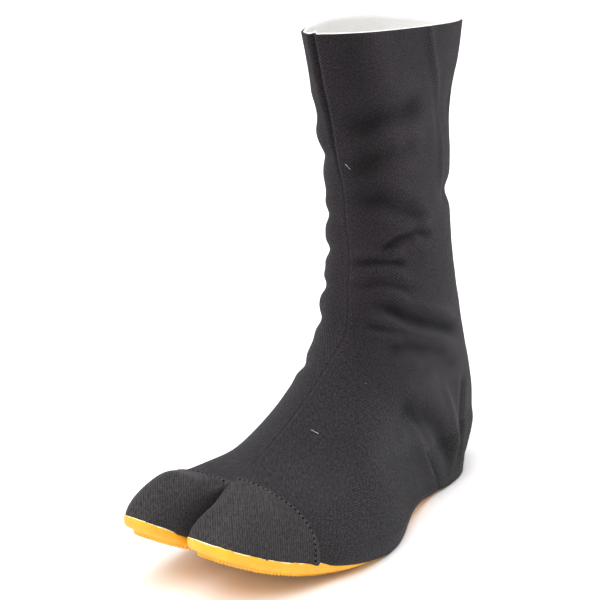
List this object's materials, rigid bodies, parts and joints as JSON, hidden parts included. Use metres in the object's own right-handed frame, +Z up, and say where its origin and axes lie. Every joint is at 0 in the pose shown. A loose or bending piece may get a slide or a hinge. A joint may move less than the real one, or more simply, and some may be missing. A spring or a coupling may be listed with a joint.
{
  "type": "tabi boot",
  "caption": "High split-toe work boot of black cotton twill on a thin gum rubber sole: hollow foot and open shaft, ribbed toe caps and heel counter. Left foot, standing empty.",
  "frame": {"origin": "middle of the boot's box in plan, on the floor under the sole", "axes": "+Z up, toes towards -Y, outer (little toe) side towards +X"},
  "size_m": [0.0982, 0.272, 0.2829],
  "materials": {
    "gum_rubber": "amber gum rubber, satin, slightly see-through at thin edges",
    "lining_cotton": "off-white plain cotton, matt",
    "twill_cotton": "black cotton twill, matt, fine slanting lines",
    "ribbed_cotton": "black cotton with fine cords, matt"
  },
  "bodies": {
    "root": {"outsole": "gum_rubber", "insole": "lining_cotton", "upper": "twill_cotton", "toe_cap_big": "ribbed_cotton", "toe_cap_four": "ribbed_cotton", "heel_counter": "ribbed_cotton"}
  },
  "joints": []
}
